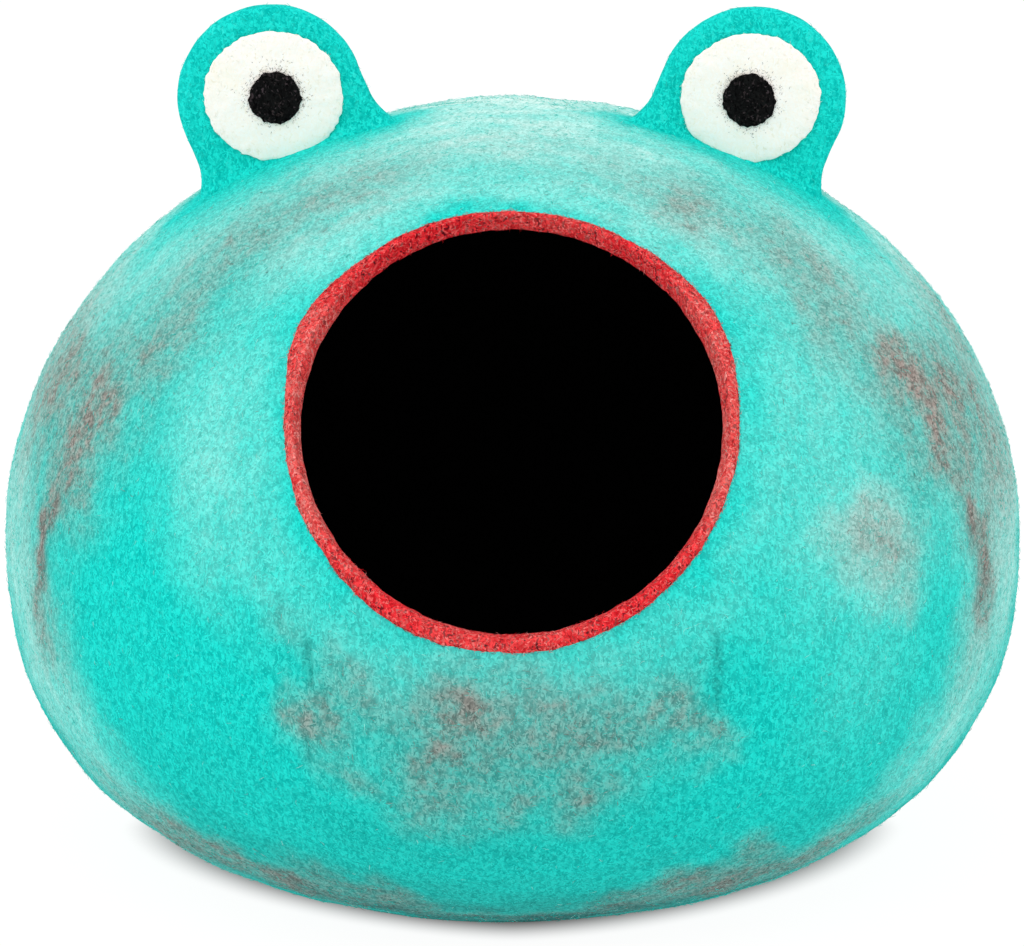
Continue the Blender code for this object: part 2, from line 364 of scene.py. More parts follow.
def last_inside(low, high, inside):
    """The value between low and high where inside() turns from true to false."""
    for _ in range(HALVINGS):
        middle = (low + high) / 2
        still = inside(middle)
        low, high = np.where(still, middle, low), np.where(still, high, middle)
    return low


# The cave's form


def body_reach(directions):
    """From HEART to the outer face along unit directions."""
    across = np.hypot(directions[:, 0], directions[:, 1]) / HALF_WIDTH
    above = directions[:, 2] >= 0
    depth = np.where(above, BODY_HEIGHT - WIDEST_HEIGHT, BELLY_DEPTH)
    power = np.where(above, CROWN_POWER, BELLY_POWER)
    along = np.abs(directions[:, 2]) / depth
    reach = (across**power + along**power) ** (-1 / power)
    around = np.arctan2(directions[:, 1], directions[:, 0])
    up = np.arcsin(np.clip(directions[:, 2], -1, 1))
    for deep, turns, rises, turn in UNEVEN_WAVES:
        reach += deep * np.sin(turns * around + math.radians(turn)) * np.cos(rises * up)
    to_base = WIDEST_HEIGHT / np.maximum(-directions[:, 2], 1e-9)
    return np.where(above, reach, np.minimum(reach, to_base))


def mouth_directions(turn, opening):
    sideways = np.cos(turn)[:, None] * SIDEWAYS + np.sin(turn)[:, None] * MOUTH_UP
    return np.cos(opening)[:, None] * MOUTH_AXIS + np.sin(opening)[:, None] * sideways


def on_wall(turn, opening, outward=0.0):
    """Points at these turns and openings, in radians, this far outside the wall's outer face."""
    directions = mouth_directions(turn, opening)
    return HEART + (body_reach(directions) + outward)[:, None] * directions


def mouth_openings(turn):
    """How far from the mouth's axis the wall's raw edge lies at each turn."""
    half = 0.5 / np.hypot(np.cos(turn) / MOUTH_WIDTH, np.sin(turn) / MOUTH_HEIGHT)

    def inside(opening):
        return body_reach(mouth_directions(turn, opening)) * np.sin(opening) < half

    return last_inside(*(np.full(len(turn), math.radians(angle)) for angle in (5, 60)), inside)


def turn_and_opening(points):
    """The two angles, in degrees, of any points seen from HEART."""
    lines = scaled_to_one(points - HEART)
    turn = np.degrees(np.arctan2(lines @ MOUTH_UP, lines @ SIDEWAYS))
    opening = np.degrees(np.arccos(np.clip(lines @ MOUTH_AXIS, -1, 1)))
    return turn, opening


def streaks_at(turn, opening):
    """How much more or less of any wool lies here, in streaks laid round the mouth."""
    coil = np.column_stack(
        (
            STREAK_ROUNDS * np.cos(np.radians(turn)),
            STREAK_ROUNDS * np.sin(np.radians(turn)),
            opening / STREAK_WIDTH,
        )
    )
    return 1 + STREAKS * (waves(coil, 1.0) + 0.5 * waves(coil, 0.45))  # coarse and fine


def away_from_tabs(points):
    """0 at the foot of an eye tab, where the wool is plain, and 1 away from both of them."""
    share = np.ones(len(points))
    stray, size = PLAIN_WANDER
    for side in (-1, 1):
        foot, _, beside = tab_place(side)
        along = np.clip((points - foot) @ beside, -PLAIN_HALF_LENGTH, PLAIN_HALF_LENGTH)
        gap = (points - foot - along[:, None] * beside)[:, :2]  # seen from above
        far = np.linalg.norm(gap, axis=1)
        in_front = np.clip(-gap[:, 1] / np.maximum(far, 0.001), 0, 1)
        away = far - TAB_THICKNESS / 2 + stray * waves(points, size)
        front_reach = PLAIN_FRONT * (1 + PLAIN_OUTWARD * side * along / PLAIN_HALF_LENGTH)
        share *= smooth(away / (PLAIN_FOOT + (front_reach - PLAIN_FOOT) * in_front))
    return share


def marbling_and_painted_light(points):
    """How much of each wool, and of the painted shade, in MARBLING_AND_PAINTED_SHADE lies at each
    point, from 0 to 1, as columns.
    """
    turn, opening = turn_and_opening(points)
    stretch = 1 / np.maximum(np.sin(np.radians(opening)), 0.2)  # a degree of turn is short here
    stray_turn = stretch * sum(far * waves(points, size) for far, size in WANDER)
    stray_opening = sum(far * waves(points, size, 40.0) for far, size in WANDER)
    streaks, plain = streaks_at(turn, opening), away_from_tabs(points)
    columns = []
    for patches in MARBLING_AND_PAINTED_SHADE:
        amount = np.zeros(len(points))
        for at_turn, at_opening, half_turn, half_opening, strength, *lean in patches:
            away = opening - at_opening + stray_opening
            beside = turn - at_turn + stray_turn - sum(lean) * away
            beside = (beside + 180) % 360 - 180
            distance = np.hypot(beside / half_turn, away / half_opening)
            share = smooth((PATCH_STARTS - distance) / (PATCH_STARTS - PATCH_FULL))
            amount = 1 - (1 - amount) * (1 - strength * share)
        columns.append(amount * streaks * plain)
    return np.column_stack(columns)


def store(piece, name, values):
    """Keeps a number for each point, for the material to read."""
    kept = piece.data.attributes.new(name, "FLOAT", "POINT")
    kept.data.foreach_set("value", values.astype(np.float32))


def store_wool(piece, amounts, crease_shade):
    """Keeps the marbling, and the painted shade of the creases and of the darkened underside."""
    kept = piece.data.attributes.new("marbling_and_painted_light", "FLOAT_VECTOR", "POINT")
    kept.data.foreach_set("vector", amounts[:, :3].astype(np.float32).ravel())
    store(piece, "shade", np.maximum(crease_shade, amounts[:, 3]))


# Pieces


def ball(name, around, rings):
    """A UV sphere of radius 1 with its pole on +Z, and its points' turns and rings."""
    clear_start()
    bpy.ops.mesh.primitive_uv_sphere_add(segments=around, ring_count=rings, radius=1)
    piece = bpy.context.object
    piece.name = name
    piece.data.name = name
    start = points_of(piece)
    turn = np.arctan2(start[:, 1], start[:, 0])
    share = np.arccos(np.clip(start[:, 2], -1, 1)) / math.pi
    return piece, turn, share


def finish_piece(piece, material, *more):
    piece.data.materials.clear()
    for each in (material, *more):
        piece.data.materials.append(each)
    piece.data.shade_smooth()
    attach(piece, "root")


def face_outward(piece):
    choose(piece)
    set_mode("EDIT")
    bpy.ops.mesh.select_all(action="SELECT")
    bpy.ops.mesh.normals_make_consistent(inside=False)
    set_mode("OBJECT")


def wall_layer(name, rings, inward):
    """One face of the wall, open at the mouth, from a ball whose pole lies on the mouth's axis."""
    piece, turn, share = ball(name, WALL_AROUND, rings)
    edge = mouth_openings(turn)
    ring = np.round(share * rings)
    opening = edge + (math.pi - edge) * (np.maximum(ring - 1, 0) / (rings - 1)) ** RING_CROWDING
    move_points(piece, on_wall(turn, opening))
    choose(piece)
    set_mode("EDIT")
    bpy.ops.mesh.select_mode(type="VERT")
    bpy.ops.mesh.select_all(action="DESELECT")
    set_mode("OBJECT")
    piece.data.vertices.foreach_set("select", ring == 0)
    set_mode("EDIT")
    bpy.ops.mesh.delete(type="VERT")
    set_mode("OBJECT")
    face_outward(piece)
    if inward:
        move_points(piece, points_of(piece) - inward * outward_normals(piece))
    return piece


def outward_normals(piece):
    """Vertex normals that point away from HEART."""
    points, normals = points_of(piece), normals_of(piece)
    turned = ((points - HEART) * normals).sum(axis=1) < 0
    normals[turned] *= -1
    return normals


def crease_depth(points):
    """How deep the troughs are at each point of the wall."""
    depth = np.zeros(len(points))
    steepness, at_end = CREASE_ENDS
    for turn, opening, end_turn, end_opening, deep, half_width in CREASES:
        share = np.linspace(0, 1, CREASE_STEPS)
        line = on_wall(
            np.radians(turn + (end_turn - turn) * share),
            np.radians(opening + (end_opening - opening) * share),
        )
        near = np.linalg.norm(points - line.mean(axis=0), axis=1) < CREASE_FIELD
        gaps = np.linalg.norm(points[near][:, None] - line[None], axis=2)
        closest = gaps.argmin(axis=1)
        gap = gaps.min(axis=1)
        fade = smooth(steepness * np.minimum(share[closest], 1 - share[closest]) + at_end)
        trough = np.exp(-((gap / half_width) ** 2))
        bank = np.exp(-(((gap - BANK_OFF * half_width) / half_width) ** 2))
        depth[near] += deep * fade * (trough - BANK_HEIGHT * bank)
    return depth


def rounded(values, squareness):
    """Sines or cosines, drawn out so that an oval becomes this much squarer."""
    return np.sign(values) * np.abs(values) ** (2 / squareness)


def lumpiness(points, lumps, shift):
    """How far lumps of (height, size) push each point out. Each row's waves are shifted aside."""
    return sum(
        height * waves(points, size, shift * index) for index, (height, size) in enumerate(lumps)
    )


def press_lumps(piece, points, push):
    """Moves a closed piece to these points, and then out along its normals."""
    move_points(piece, points)
    face_outward(piece)
    move_points(piece, points + push[:, None] * normals_of(piece))


def make_wall(turquoise, inner_face_felt):
    """The felted ball: a lumpy outer face, a plain dark inner one and the raw edge between them."""
    wall = wall_layer("felt_wall", WALL_RINGS, 0.0)
    points, normals = points_of(wall), outward_normals(wall)
    push = lumpiness(points, LUMPS, 10) - crease_depth(points)
    push *= smooth(points[:, 2] / REST_FADE)
    points += push[:, None] * normals
    points[:, 2] = np.maximum(points[:, 2], 0)
    move_points(wall, points)
    outer_faces = len(wall.data.polygons)

    lining = wall_layer("lining", LINING_RINGS, WALL)
    choose(wall, lining)
    bpy.ops.object.join()
    set_mode("EDIT")
    bpy.ops.mesh.select_all(action="DESELECT")
    bpy.ops.mesh.select_non_manifold(extend=False, use_multi_face=False, use_non_contiguous=False)
    bpy.ops.mesh.bridge_edge_loops()
    set_mode("OBJECT")
    face_outward(wall)
    finish_piece(wall, turquoise, inner_face_felt)
    inner = np.arange(len(wall.data.polygons)) >= outer_faces
    wall.data.polygons.foreach_set("material_index", inner.astype(np.int32))
    points = points_of(wall)
    # painted shade in the creases, darker the deeper the trough
    store_wool(wall, marbling_and_painted_light(points), np.maximum(crease_depth(points), 0) / CREASE_FULL_SHADE)
    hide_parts("shell")
    return wall


BAND_WIDTHS = (
    # turn in degrees from the mouth's right, how far the outer lip runs back
    (-90, 0.0048),
    (-40, 0.0034),
    (0, 0.0044),
    (31, 0.0088),
    (60, 0.0046),
    (90, 0.0032),
    (125, 0.0056),
    (152, 0.0104),
    (180, 0.0046),
    (215, 0.0048),
    (240, 0.006),
    (270, 0.0048),
)
BAND_SPREAD = 1.06  # felting spreads the outer lip by this much
BAND_NOSE, BAND_NOSE_BELOW = 0.0009, 0.0022  # it overhangs the mouth by this, and this more below
BAND_HALF = 0.0046  # half the band's thickness over the wall's edge
BAND_SQUARENESS = 3.0
BAND_INNER_LIP = 0.0054
BAND_LUMPS = (
    # height, size
    (0.00045, 0.01),
    (0.00035, 0.0045),
    (0.0002, 0.0024),
)
BAND_WORN = (
    # turn, half its turn, how pale the band is worn there
    (182, 40, 1.0),
    (4, 40, 1.0),
    (-95, 24, 0.3),
    (82, 16, 0.4),
)
WORN_EDGE = 1.4  # a worn place ends this many half-turns from its middle
STEP = 0.01  # metres or radians, for the slope of a surface between two places


def band_width(turn):
    """The outer lip's width at these turns, eased between the rows of BAND_WIDTHS."""
    degrees = (np.degrees(turn) + 90) % 360 - 90
    width = np.zeros(len(turn))
    for (start, before), (end, after) in zip(BAND_WIDTHS, BAND_WIDTHS[1:]):
        here = (degrees >= start) & (degrees <= end)
        share = (1 - np.cos(math.pi * (degrees - start) / (end - start))) / 2
        width = np.where(here, before + (after - before) * share, width)
    return width


def make_mouth_band(red):
    """A ring bent over the wall's raw edge, wide outside and narrow inside."""
    clear_start()
    bpy.ops.mesh.primitive_torus_add(
        major_segments=BAND_AROUND, minor_segments=BAND_SECTION, major_radius=1, minor_radius=0.25
    )
    band = bpy.context.object
    band.name = "red_band"
    start = points_of(band)
    turn = np.arctan2(start[:, 1], start[:, 0])
    out = np.hypot(start[:, 0], start[:, 1]) - 1
    section = np.arctan2(start[:, 2], out)

    edge = mouth_openings(turn)
    middle = on_wall(turn, edge)
    back = scaled_to_one(on_wall(turn, edge + STEP) - middle)
    ahead, behind = (on_wall(at, mouth_openings(at)) for at in (turn + STEP, turn - STEP))
    normal = scaled_to_one(np.cross(ahead - behind, back))
    normal *= np.sign((normal * (middle - HEART)).sum(axis=1))[:, None]
    middle = middle - WALL / 2 * normal

    outer = np.sin(section) > 0
    reach_back = np.where(outer, band_width(turn) * BAND_SPREAD, BAND_INNER_LIP)
    along = rounded(np.cos(section), BAND_SQUARENESS)
    aside = rounded(np.sin(section), BAND_SQUARENESS)
    nose = BAND_NOSE + BAND_NOSE_BELOW * np.maximum(-np.sin(turn), 0)
    along = np.where(along > 0, along * reach_back, along * nose)
    points = middle + along[:, None] * back + (aside * BAND_HALF)[:, None] * normal
    press_lumps(band, points, lumpiness(points, BAND_LUMPS, 7))
    finish_piece(band, red)
    worn = np.zeros(len(turn))
    for middle_turn, half_turn, strength in BAND_WORN:
        beside = (np.degrees(turn) - middle_turn + 180) % 360 - 180
        worn += strength * smooth(WORN_EDGE - np.abs(beside) / half_turn)
    store(band, "worn", worn)
    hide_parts("mouth_band")
    return band


def body_top(x, y):
    """The body's height over a point near its middle."""

    def inside(height):
        line = np.array([[x, y, height]]) - HEART
        return np.linalg.norm(line) < body_reach(scaled_to_one(line))[0]

    return last_inside(WIDEST_HEIGHT, BODY_HEIGHT * 1.1, inside)


@functools.cache
def tab_place(side):
    """The foot of an eye tab, the way up the tab, square to the body there, and across the tab."""

    def way_up(x):
        inner, outer = (body_top(side * (x + away), -TAB_FORWARD) for away in (-STEP, STEP))
        up = np.array((side * (inner - outer), 0, 2 * STEP))
        return up / np.linalg.norm(up)

    x = last_inside(
        0, EYE_SPACING / 2, lambda x: x + abs(way_up(x)[0]) * TAB_HEAD_HEIGHT < EYE_SPACING / 2
    )
    up = way_up(x)
    foot = np.array((side * x, -TAB_FORWARD, body_top(side * x, -TAB_FORWARD)))
    return foot, up, np.array((up[2], 0, -up[0]))


TAB_FLARE = (0.006, 0.0022)  # the foot spreads by this much sideways, and to the front and back,
TAB_FLARE_HEIGHT = (0.014, 0.006)  # from these heights down
TAB_FLARE_MOST = 1.3  # the flare's growth ends where this is reached, inside the wall
TAB_SUNK = 0.005
TAB_SQUARENESS = 4.2  # 2 is an oval section, more is flatter with rounder edges
TAB_BLEND = (-0.001, 0.011)  # the body's marbling, painted highlight and painted shade fade out of the foot between these heights
BALL_FOR_HEAD = 0.62  # share of the ball, from its pole, that makes the round head
HEAD_CROWDING = 0.86  # less than 1 sets the head's rows closer together at its top
TAB_LUMPINESS = 0.8  # of the wall's


def tab_half_sizes(height):
    """Half the tab's width and depth at each height above the body."""
    above = np.maximum(0, height - TAB_HEAD_HEIGHT)
    half_width = np.sqrt(np.maximum(TAB_HEAD_RADIUS**2 - above**2, 0))
    edge_start = TAB_HEAD_HEIGHT + TAB_HEAD_RADIUS - TAB_EDGE_ROUND
    into_edge = np.clip((height - edge_start) / TAB_EDGE_ROUND, 0, 1)
    half_depth = TAB_THICKNESS / 2 - TAB_EDGE_ROUND * (1 - np.sqrt(1 - into_edge**2))
    low_width, low_depth = (
        np.clip(1 - height / start, 0, TAB_FLARE_MOST) ** 2 for start in TAB_FLARE_HEIGHT
    )
    return half_width + TAB_FLARE[0] * low_width, half_depth + TAB_FLARE[1] * low_depth


def make_eye_tab(word, side, turquoise):
    """A ball pressed flat into the tab: its pole tops the head and its foot lies in the wall."""
    foot, up, beside = tab_place(side)
    tab, turn, share = ball(f"eye_stalk_{word}", TAB_AROUND, TAB_ROWS)
    climb = np.clip(1 - share / BALL_FOR_HEAD, 0, 1)
    below = np.clip((share - BALL_FOR_HEAD) / (1 - BALL_FOR_HEAD), 0, 1)
    height = TAB_HEAD_HEIGHT + TAB_HEAD_RADIUS * np.sin(math.pi / 2 * climb**HEAD_CROWDING)
    height -= (TAB_HEAD_HEIGHT + TAB_SUNK) * below
    half_width, half_depth = tab_half_sizes(height)
    across = half_width * rounded(np.cos(turn), TAB_SQUARENESS)
    behind = half_depth * rounded(np.sin(turn), TAB_SQUARENESS)

    points = foot + across[:, None] * beside + behind[:, None] * np.array((0, 1, 0))
    lines = scaled_to_one(points - HEART)
    drop = (HEART + body_reach(lines)[:, None] * lines - points) @ up
    follows = np.clip(1 - np.maximum(height, 0) / TAB_HEAD_HEIGHT, 0, 1)
    points += (height + follows * drop)[:, None] * up
    press_lumps(tab, points, TAB_LUMPINESS * lumpiness(points, LUMPS, 10))
    finish_piece(tab, turquoise)
    start, end = TAB_BLEND
    fade = smooth((end - height) / (end - start))
    store_wool(tab, marbling_and_painted_light(points) * fade[:, None], 0 * height)
    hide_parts(f"eye_tab_{word}")
    return tab


def on_head(side, inward, raised, forward):
    """A point this far from the head's middle: towards the other eye, up, and to the front."""
    foot, up, _ = tab_place(side)
    return foot + TAB_HEAD_HEIGHT * up + np.array((-side * inward, -forward, raised))


DISC_BLUNT = 0.42  # less is a blunter rim
DISC_RIM = 0.42  # height of the rounded rim as a share of the disc's rise
DISC_CROWN = 0.9  # less is a flatter crown with a steeper edge
DISC_TUCK = 1.6  # how fast the back of the rim comes in to what carries it


def make_eye_disc(name, back, sizes, ragged, lumps, material):
    """A crowned oval of felt with an uneven edge, from a ball pressed flat against what carries it.

    ragged holds (share of the radius, size of the waves) and lumps holds (height, size).
    """
    width, height, rise = sizes
    disc, turn, share = ball(name, DISC_AROUND, DISC_ROWS)
    angle = math.pi * share
    circle = back + np.column_stack((np.cos(turn), 0 * turn, np.sin(turn))) * width / 2
    edge = 1 + sum(deep * waves(circle, size, 3.0) for deep, size in ragged)
    out = np.sin(angle) ** DISC_BLUNT * edge
    front_rise = DISC_RIM + (1 - DISC_RIM) * np.maximum(np.cos(angle), 0) ** DISC_CROWN
    back_rise = DISC_RIM * np.maximum(0, 1 + DISC_TUCK * np.cos(angle))
    forward = rise * np.where(np.cos(angle) > 0, front_rise, back_rise)
    points = back + np.column_stack(
        (width / 2 * out * np.cos(turn), -forward, height / 2 * out * np.sin(turn))
    )
    push = sum(high * waves(points, size, 9.0) for high, size in lumps)
    press_lumps(disc, points, push * smooth(forward / (rise * DISC_RIM)))
    finish_piece(disc, material)
    return disc


# Loose wool

FIBRE_WIDTH = (0.00014, 0.00028)  # least and most
FIBRE_BEND = 0.7  # radians, as a standard deviation
FIBRE_DROOP = (-0.6, 0.9)  # the outer half rises by this share of the lift
FIBRE_TAPER = 0.75
FIBRE_ROOT = 0.00015  # how far the root lies in the felt
LOWEST = 0.0002  # fibres stay this far above the table
FIBRE_FACES = (
    # corners 0 to 2 are at the root, 3 to 5 in the middle and 6 is the tip
    (0, 2, 1),
    (0, 1, 4),
    (0, 4, 3),
    (1, 2, 5),
    (1, 5, 4),
    (2, 0, 3),
    (2, 3, 5),
    (3, 4, 6),
    (4, 5, 6),
    (5, 3, 6),
)


def column(values):
    return values[:, None]


class Ground:
    """A piece's triangles, where loose fibres take root."""

    def __init__(self, piece):
        piece.data.calc_loop_triangles()
        triangles = piece.data.loop_triangles
        corners = points_of(piece)[read(triangles, "vertices", np.int32)]
        # Sorted by place, because the faces of a ball come in another order each time.
        order = np.lexsort(corners.mean(axis=1).T)
        self.corners = corners[order]
        self.middles = self.corners.mean(axis=1)
        first, second, third = self.corners.transpose(1, 0, 2)
        self.cross = np.cross(second - first, third - first)
        self.area = np.linalg.norm(self.cross, axis=1)
        slots = read(triangles, "material_index", np.int32, 1)[order, 0]
        self.weight = np.where(slots == 0, self.area, 0)  # none on the lining


class Fleece:
    """Grows loose fibres, each kind of them one mesh of closed, tapered, bent strands."""

    def __init__(self, seed):
        self.random = np.random.default_rng(seed)

    def roots(self, ground, count, liking=1):
        """Random places on the ground, thicker where the liking is higher, and their normals."""
        weight = ground.weight * liking
        chosen = self.random.choice(len(weight), count, p=weight / weight.sum())
        a, b = self.random.random((2, count))
        over = a + b > 1
        a, b = np.where(over, 1 - a, a), np.where(over, 1 - b, b)
        first, second, third = ground.corners[chosen].transpose(1, 0, 2)
        places = first + column(a) * (second - first) + column(b) * (third - first)
        return places, ground.cross[chosen] / column(ground.area[chosen])

    def headings(self, normals, lay, spread):
        """Unit directions along the surface, near lay and spread this many radians round it."""
        lay = lay - column((lay * normals).sum(axis=1)) * normals
        lay /= column(np.maximum(np.linalg.norm(lay, axis=1), 1e-9))
        side = np.cross(normals, lay)
        angle = self.random.normal(0, spread, len(normals))
        angle += math.pi * self.random.integers(0, 2, len(normals))
        return column(np.cos(angle)) * lay + column(np.sin(angle)) * side

    def grow(self, name, colour, slot, roots, normals, spread, length, lift, lay=None):
        """One kind of fibre. length is (least, most) in metres and lift the same in radians.

        Without a lay the fibres lie round the mouth, the way the wool was laid.
        """
        lay = np.cross(normals, MOUTH_AXIS) if lay is None else lay
        headings = self.headings(normals, lay, spread)
        count = len(roots)
        half = column(0.5 * self.random.uniform(*length, count))
        thick = self.random.uniform(*FIBRE_WIDTH, count) / 2
        rise = self.random.uniform(*lift, count)
        bend = self.random.normal(0, FIBRE_BEND, count)
        side = np.cross(normals, headings)
        first = column(np.cos(rise)) * headings + column(np.sin(rise)) * normals
        rise = rise * self.random.uniform(*FIBRE_DROOP, count)
        turned = column(np.cos(bend)) * headings + column(np.sin(bend)) * side
        second = column(np.cos(rise)) * turned + column(np.sin(rise)) * normals
        start = roots - FIBRE_ROOT * normals
        middle = start + half * first
        upper = np.cross(first, side)
        corners = []
        for centre, radius in ((start, thick), (middle, thick * FIBRE_TAPER)):
            for angle in (0, math.tau / 3, 2 * math.tau / 3):
                ring = math.cos(angle) * side + math.sin(angle) * upper
                corners.append(centre + column(radius) * ring)
        corners.append(middle + half * second)
        points = np.stack(corners, axis=1).reshape(-1, 3)
        points[:, 2] = np.maximum(points[:, 2], LOWEST)
        base = column(np.arange(count) * len(corners))
        faces = np.concatenate([base + face for face in np.array(FIBRE_FACES)])

        mesh = bpy.data.meshes.new(name)
        mesh.from_pydata(points.tolist(), [], faces.tolist())
        piece = add(name, mesh)
        finish_piece(piece, loose_wool(name, colour))
        return piece


# Materials

THICK, LONG = 0.00105, 0.0038  # sizes of the strands drawn on the surface
STRAND_TURNS = ((0.3, 0.5, 0.2), (1.4, 0.2, 1.1), (0.6, 1.5, 2.2))  # radians about X, Y and Z
LACUNARITY = 2.0
MELANGE_CONTRAST = 0.12  # more is more uneven


class Reading:
    """A value from a socket. Python's signs on it add the Math nodes that they stand for."""

    def __init__(self, wool, socket):
        self.wool = wool
        self.socket = socket

    def maths(self, operation, *values):
        return self.wool.node("ShaderNodeMath", {"operation": operation}, *values)

    def __add__(self, other):
        return self.maths("ADD", self, other)

    __radd__ = __add__

    def __sub__(self, other):
        return self.maths("SUBTRACT", self, other)

    def __mul__(self, other):
        return self.maths("MULTIPLY", self, other)

    __rmul__ = __mul__

    def __rsub__(self, other):
        return self.maths("SUBTRACT", other, self)

    def __pow__(self, power):
        return self.maths("POWER", self, power)

    def __abs__(self):
        return self.maths("ABSOLUTE", self)

    def held(self):
        """Kept between 0 and 1."""
        return self.wool.node("ShaderNodeClamp", None, self)

    def above(self, low, high):
        """0 up to low, 1 from high, and smooth between them."""
        smoothly = {"interpolation_type": "SMOOTHSTEP"}
        return self.wool.node("ShaderNodeMapRange", smoothly, self, low, high)


class Wool:
    """One felt's material."""

    def __init__(self, name, roughness, sheen, sheen_colour):
        self.material = bpy.data.materials.new(name)
        self.material.use_nodes = True
        self.tree = self.material.node_tree
        self.shader = self.tree.nodes["Principled BSDF"]
        self.set("Roughness", roughness)
        self.set("Specular IOR Level", 0.02)
        self.set("Sheen Weight", sheen)
        self.set("Sheen Roughness", 0.6)
        self.set("Sheen Tint", (*sheen_colour, 1))

    def set(self, name, value):
        """Sets one of the shader's own sockets, for what is the same all over."""
        self.shader.inputs[name].default_value = value

    def node(self, kind, settings=None, *values, result=None):
        """Adds a node: its settings first, then a value or a Reading for each input in turn."""
        made = self.tree.nodes.new(kind)
        for setting, value in (settings or {}).items():
            setattr(made, setting, value)
        sockets = [socket for socket in made.inputs if socket.enabled and not socket.hide]
        for socket, value in zip(sockets, values):
            if isinstance(value, Reading):
                self.tree.links.new(value.socket, socket)
            elif value is not None:
                socket.default_value = (*value, 1) if socket.type == "RGBA" else value
        if result:
            return Reading(self, made.outputs[result])
        return Reading(self, next(socket for socket in made.outputs if socket.enabled))

    @functools.cached_property
    def place(self):
        return self.node("ShaderNodeTexCoord", result="Object")

    def kept(self, name, result="Fac"):
        """A piece's attribute of this name."""
        return self.node("ShaderNodeAttribute", {"attribute_name": name}, result=result)

    def parts(self, vector):
        return [self.node("ShaderNodeSeparateXYZ", None, vector, result=axis) for axis in "XYZ"]

    def noise(self, size, detail=2.0, roughness=0.5, distortion=0.0, result=None):
        """Noise of about 0 to 1 with its middle at 0.5, and features of this size in metres."""
        values = (self.place, 1 / size, detail, roughness, LACUNARITY, distortion)
        return self.node("ShaderNodeTexNoise", None, *values, result=result)

    def curled(self, size, by):
        """The place moved aside by this much in metres, so that what is drawn on it curls."""
        kind = "ShaderNodeVectorMath"
        back = self.node(kind, {"operation": "SUBTRACT"}, self.place, (by,) * 3)
        waves_there = self.noise(size, 1.0, result="Color")
        return self.node(kind, {"operation": "MULTIPLY_ADD"}, waves_there, (2 * by,) * 3, back)

    def strands(self, place, turn):
        """A random colour for each strand of a layer, and the distance from its middle."""
        size = (LONG, THICK, THICK)
        laid = self.node("ShaderNodeMapping", {"vector_type": "TEXTURE"}, place, None, turn, size)
        made = self.node("ShaderNodeTexVoronoi", None, laid, 1.0)
        return Reading(self, made.socket.node.outputs["Color"]), made

    def interlace(self):
        """Strands that cross in three directions: three values, random from strand to strand."""
        place = self.curled(LONG * 0.9, THICK * 1.6)
        layers = [self.strands(place, turn) for turn in STRAND_TURNS]
        colour, distance = layers[0]
        for next_colour, next_distance in layers[1:]:
            on_top = (distance - next_distance).above(-0.04, 0.04)
            colour = self.mix(on_top, colour, next_colour)
            distance = next_distance
        return self.parts(colour)

    def melange(self, colour, amount, value, dark, light, brightness):
        """Cards in this amount of another wool, whose strands run from dark to light.

        The value, random from strand to strand, makes the amount uneven where the wools mix.
        """
        uneven = (value - 0.5) * amount * (1.0 - amount) * (4.0 * MELANGE_CONTRAST)
        return self.mix((amount + uneven).held(), colour, self.mix(brightness, dark, light))

    def mix(self, share, first, second):
        """A mix of two colours by a share of 0 to 1."""
        return self.node("ShaderNodeMix", {"data_type": "RGBA"}, share, first, second)

    def felted(self, colour, tufts, distance, strength):
        """The material, in this colour, with bumps where it stands in tufts and a finer grain."""
        self.tree.links.new(colour.socket, self.shader.inputs["Base Color"])
        height = tufts * 0.7 + self.noise(0.0013, 1.0) * 0.5
        bump = self.tree.nodes.new("ShaderNodeBump")
        bump.inputs["Strength"].default_value = strength
        bump.inputs["Distance"].default_value = distance
        self.tree.links.new(height.socket, bump.inputs["Height"])
        self.tree.links.new(bump.outputs["Normal"], self.shader.inputs["Normal"])
        return self.material


def turquoise_felt():
    wool = Wool("turquoise_marbled_felt", 0.95, 0.02, (0.75, 1.0, 0.95))
    grey, rust, mint_and_highlight = wool.parts(wool.kept("marbling_and_painted_light", "Vector"))
    first, second, third = wool.interlace()
    clouds = wool.noise(0.008, 2.0, 0.6, 0.5) - 0.5
    tufts = wool.noise(0.0028, 2.0, 0.55, 0.4)
    brightness = (third * 0.8 + tufts * 0.9 - 0.35).above(0.0, 1.0)

    felt = wool.mix(brightness, (0.0, 0.475, 0.43), (0.014, 0.8, 0.7))
    light = (first - 0.8).above(0.0, 0.14) * (mint_and_highlight * 0.5 + 0.12)
    felt = wool.mix(light, felt, wool.mix(brightness, (0.03, 0.62, 0.56), (0.15, 0.92, 0.86)))
    for amount, value, dark_wool, light_wool in (
        # the mint wool, which over the top is also a painted highlight
        (mint_and_highlight * (1.0 + clouds * 0.9), second, (0.52, 0.8, 0.73), (0.76, 1.0, 0.96)),
        (grey * (1.0 + clouds * 1.8), first, (0.125, 0.15, 0.135), (0.4, 0.395, 0.36)),
        (rust * (1.0 + clouds * 1.8), second, (0.19, 0.13, 0.115), (0.5, 0.38, 0.34)),
    ):
        felt = wool.melange(felt, amount.held(), value, dark_wool, light_wool, brightness)
    # painted shade: the creases and the underside darkened towards this dark teal
    deep = wool.mix(brightness, (0.01, 0.085, 0.082), (0.03, 0.2, 0.19))
    felt = wool.mix(wool.kept("shade").held(), felt, deep)
    return wool.felted(felt, tufts, 0.0012, 0.8)


